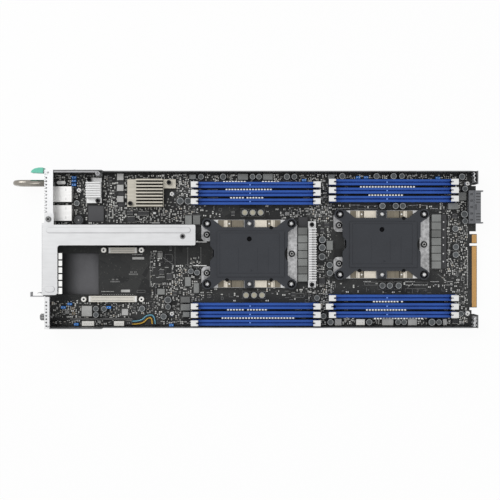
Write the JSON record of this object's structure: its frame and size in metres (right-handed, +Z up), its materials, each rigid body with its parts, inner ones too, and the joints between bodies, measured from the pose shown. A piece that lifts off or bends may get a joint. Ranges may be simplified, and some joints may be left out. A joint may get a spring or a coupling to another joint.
{
  "type": "rack server sled",
  "caption": "Half-width server sled: open steel tray with mainboard, covered processor sockets, latched memory sockets, riser bracket, pull handle and release lever.",
  "frame": {"origin": "middle of the underside of the tray", "axes": "+X from the rear panel to the backplane edge, +Y across the sled to the pull handle's side, +Z up out of the open tray"},
  "size_m": [0.5185, 0.1759, 0.0412],
  "materials": {
    "zinc_steel": "satin zinc-plated sheet",
    "bright_steel": "bright plated",
    "bolster_steel": "satin stainless",
    "spring_steel": "warm nickel plate",
    "handle_chrome": "polished",
    "board": "black solder mask over glass laminate",
    "gold": "gold-plated contact pads",
    "black_plastic": "moulded",
    "blue_plastic": "moulded",
    "latch_white": "moulded",
    "socket_plastic": "moulded",
    "cover_plastic": "moulded",
    "header_white": "moulded",
    "teal_plastic": "moulded",
    "champagne_aluminium": "clear anodised",
    "white_aluminium": "bare extrusion",
    "can_metal": "sleeved can",
    "choke_grey": "pressed powder",
    "chip_black": "moulded package",
    "jack_metal": "stamped shield",
    "dark_film": "insulating film",
    "wire_red": "insulated lead"
  },
  "bodies": {
    "sled": {"tray": "zinc_steel", "rear_panel": "zinc_steel", "insulator_sheet": "dark_film", "standoffs": "bright_steel", "mainboard": "board", "edge_contacts": "gold", "backplane_connector": "black_plastic", "memory_sockets": "blue_plastic", "cpu_sockets": "socket_plastic", "bolster_plates": "bolster_steel", "bolster_springs": "spring_steel", "bolster_posts": "bright_steel", "fasteners": "bright_steel", "chipset_heatsink": "champagne_aluminium", "network_heatsink": "white_aluminium", "regulator_heatsink": "champagne_aluminium", "push_pins": "black_plastic", "capacitors": "can_metal", "chokes": "choke_grey", "chips": "chip_black", "network_jacks": "jack_metal", "mezzanine_connectors": "header_white", "pin_headers": "header_white", "sounder": "black_plastic", "riser_bracket": "zinc_steel", "riser_card": "board", "riser_slots": "black_plastic", "slot_cover": "zinc_steel", "contact_strip": "spring_steel", "pull_handle": "handle_chrome", "wire_harness": "wire_red"},
    "latch_1_upper_1_front": {"latch_1_upper_1_front": "latch_white"},
    "latch_1_upper_1_rear": {"latch_1_upper_1_rear": "latch_white"},
    "latch_1_upper_2_front": {"latch_1_upper_2_front": "latch_white"},
    "latch_1_upper_2_rear": {"latch_1_upper_2_rear": "latch_white"},
    "latch_1_upper_3_front": {"latch_1_upper_3_front": "latch_white"},
    "latch_1_upper_3_rear": {"latch_1_upper_3_rear": "latch_white"},
    "latch_1_lower_1_front": {"latch_1_lower_1_front": "latch_white"},
    "latch_1_lower_1_rear": {"latch_1_lower_1_rear": "latch_white"},
    "latch_1_lower_2_front": {"latch_1_lower_2_front": "latch_white"},
    "latch_1_lower_2_rear": {"latch_1_lower_2_rear": "latch_white"},
    "latch_1_lower_3_front": {"latch_1_lower_3_front": "latch_white"},
    "latch_1_lower_3_rear": {"latch_1_lower_3_rear": "latch_white"},
    "latch_2_upper_1_front": {"latch_2_upper_1_front": "latch_white"},
    "latch_2_upper_1_rear": {"latch_2_upper_1_rear": "latch_white"},
    "latch_2_upper_2_front": {"latch_2_upper_2_front": "latch_white"},
    "latch_2_upper_2_rear": {"latch_2_upper_2_rear": "latch_white"},
    "latch_2_upper_3_front": {"latch_2_upper_3_front": "latch_white"},
    "latch_2_upper_3_rear": {"latch_2_upper_3_rear": "latch_white"},
    "latch_2_lower_1_front": {"latch_2_lower_1_front": "latch_white"},
    "latch_2_lower_1_rear": {"latch_2_lower_1_rear": "latch_white"},
    "latch_2_lower_2_front": {"latch_2_lower_2_front": "latch_white"},
    "latch_2_lower_2_rear": {"latch_2_lower_2_rear": "latch_white"},
    "latch_2_lower_3_front": {"latch_2_lower_3_front": "latch_white"},
    "latch_2_lower_3_rear": {"latch_2_lower_3_rear": "latch_white"},
    "release_lever": {"lever_arm": "zinc_steel", "lever_grip": "teal_plastic"},
    "thumbscrew": {"thumbscrew": "bright_steel"},
    "cpu_1_cover": {"cpu_1_cover": "cover_plastic"},
    "cpu_2_cover": {"cpu_2_cover": "cover_plastic"}
  },
  "joints": [
    {"name": "latch_1_upper_1_front_swing", "type": "hinge", "parent": "sled", "child": "latch_1_upper_1_front", "pos_m": [0.0599, 0.07145, 0.013], "axis": [0, 1, 0], "range_deg": [0, 16]},
    {"name": "latch_1_upper_1_rear_swing", "type": "hinge", "parent": "sled", "child": "latch_1_upper_1_rear", "pos_m": [-0.0751, 0.07145, 0.013], "axis": [0, -1, 0], "range_deg": [0, 16]},
    {"name": "latch_1_upper_2_front_swing", "type": "hinge", "parent": "sled", "child": "latch_1_upper_2_front", "pos_m": [0.0599, 0.0622, 0.013], "axis": [0, 1, 0], "range_deg": [0, 16]},
    {"name": "latch_1_upper_2_rear_swing", "type": "hinge", "parent": "sled", "child": "latch_1_upper_2_rear", "pos_m": [-0.0751, 0.0622, 0.013], "axis": [0, -1, 0], "range_deg": [0, 16]},
    {"name": "latch_1_upper_3_front_swing", "type": "hinge", "parent": "sled", "child": "latch_1_upper_3_front", "pos_m": [0.0599, 0.05295, 0.013], "axis": [0, 1, 0], "range_deg": [0, 16]},
    {"name": "latch_1_upper_3_rear_swing", "type": "hinge", "parent": "sled", "child": "latch_1_upper_3_rear", "pos_m": [-0.0751, 0.05295, 0.013], "axis": [0, -1, 0], "range_deg": [0, 16]},
    {"name": "latch_1_lower_1_front_swing", "type": "hinge", "parent": "sled", "child": "latch_1_lower_1_front", "pos_m": [0.0599, -0.06255, 0.013], "axis": [0, 1, 0], "range_deg": [0, 16]},
    {"name": "latch_1_lower_1_rear_swing", "type": "hinge", "parent": "sled", "child": "latch_1_lower_1_rear", "pos_m": [-0.0751, -0.06255, 0.013], "axis": [0, -1, 0], "range_deg": [0, 16]},
    {"name": "latch_1_lower_2_front_swing", "type": "hinge", "parent": "sled", "child": "latch_1_lower_2_front", "pos_m": [0.0599, -0.0718, 0.013], "axis": [0, 1, 0], "range_deg": [0, 16]},
    {"name": "latch_1_lower_2_rear_swing", "type": "hinge", "parent": "sled", "child": "latch_1_lower_2_rear", "pos_m": [-0.0751, -0.0718, 0.013], "axis": [0, -1, 0], "range_deg": [0, 16]},
    {"name": "latch_1_lower_3_front_swing", "type": "hinge", "parent": "sled", "child": "latch_1_lower_3_front", "pos_m": [0.0599, -0.08105, 0.013], "axis": [0, 1, 0], "range_deg": [0, 16]},
    {"name": "latch_1_lower_3_rear_swing", "type": "hinge", "parent": "sled", "child": "latch_1_lower_3_rear", "pos_m": [-0.0751, -0.08105, 0.013], "axis": [0, -1, 0], "range_deg": [0, 16]},
    {"name": "latch_2_upper_1_front_swing", "type": "hinge", "parent": "sled", "child": "latch_2_upper_1_front", "pos_m": [0.2114, 0.07435, 0.013], "axis": [0, 1, 0], "range_deg": [0, 16]},
    {"name": "latch_2_upper_1_rear_swing", "type": "hinge", "parent": "sled", "child": "latch_2_upper_1_rear", "pos_m": [0.0764, 0.07435, 0.013], "axis": [0, -1, 0], "range_deg": [0, 16]},
    {"name": "latch_2_upper_2_front_swing", "type": "hinge", "parent": "sled", "child": "latch_2_upper_2_front", "pos_m": [0.2114, 0.0651, 0.013], "axis": [0, 1, 0], "range_deg": [0, 16]},
    {"name": "latch_2_upper_2_rear_swing", "type": "hinge", "parent": "sled", "child": "latch_2_upper_2_rear", "pos_m": [0.0764, 0.0651, 0.013], "axis": [0, -1, 0], "range_deg": [0, 16]},
    {"name": "latch_2_upper_3_front_swing", "type": "hinge", "parent": "sled", "child": "latch_2_upper_3_front", "pos_m": [0.2114, 0.05585, 0.013], "axis": [0, 1, 0], "range_deg": [0, 16]},
    {"name": "latch_2_upper_3_rear_swing", "type": "hinge", "parent": "sled", "child": "latch_2_upper_3_rear", "pos_m": [0.0764, 0.05585, 0.013], "axis": [0, -1, 0], "range_deg": [0, 16]},
    {"name": "latch_2_lower_1_front_swing", "type": "hinge", "parent": "sled", "child": "latch_2_lower_1_front", "pos_m": [0.2114, -0.05345, 0.013], "axis": [0, 1, 0], "range_deg": [0, 16]},
    {"name": "latch_2_lower_1_rear_swing", "type": "hinge", "parent": "sled", "child": "latch_2_lower_1_rear", "pos_m": [0.0764, -0.05345, 0.013], "axis": [0, -1, 0], "range_deg": [0, 16]},
    {"name": "latch_2_lower_2_front_swing", "type": "hinge", "parent": "sled", "child": "latch_2_lower_2_front", "pos_m": [0.2114, -0.0627, 0.013], "axis": [0, 1, 0], "range_deg": [0, 16]},
    {"name": "latch_2_lower_2_rear_swing", "type": "hinge", "parent": "sled", "child": "latch_2_lower_2_rear", "pos_m": [0.0764, -0.0627, 0.013], "axis": [0, -1, 0], "range_deg": [-13, 3]},
    {"name": "latch_2_lower_3_front_swing", "type": "hinge", "parent": "sled", "child": "latch_2_lower_3_front", "pos_m": [0.2114, -0.07195, 0.013], "axis": [0, 1, 0], "range_deg": [0, 16]},
    {"name": "latch_2_lower_3_rear_swing", "type": "hinge", "parent": "sled", "child": "latch_2_lower_3_rear", "pos_m": [0.0764, -0.07195, 0.013], "axis": [0, -1, 0], "range_deg": [0, 16]},
    {"name": "lever_squeeze", "type": "hinge", "parent": "sled", "child": "release_lever", "pos_m": [-0.18, 0.08295, 0.0306], "axis": [0, 0, 1], "range_deg": [0, 2.6], "stiffness_Nm_per_rad": 4},
    {"name": "thumbscrew_turn", "type": "hinge", "parent": "sled", "child": "thumbscrew", "pos_m": [-0.2406, -0.0743, 0.024], "axis": [-1, 0, 0], "continuous": true},
    {"name": "cpu_1_cover_lift", "type": "slide", "parent": "sled", "child": "cpu_1_cover", "axis": [0, 0, 1], "range_m": [0, 0.06]},
    {"name": "cpu_2_cover_lift", "type": "slide", "parent": "sled", "child": "cpu_2_cover", "axis": [0, 0, 1], "range_m": [0, 0.06]}
  ]
}
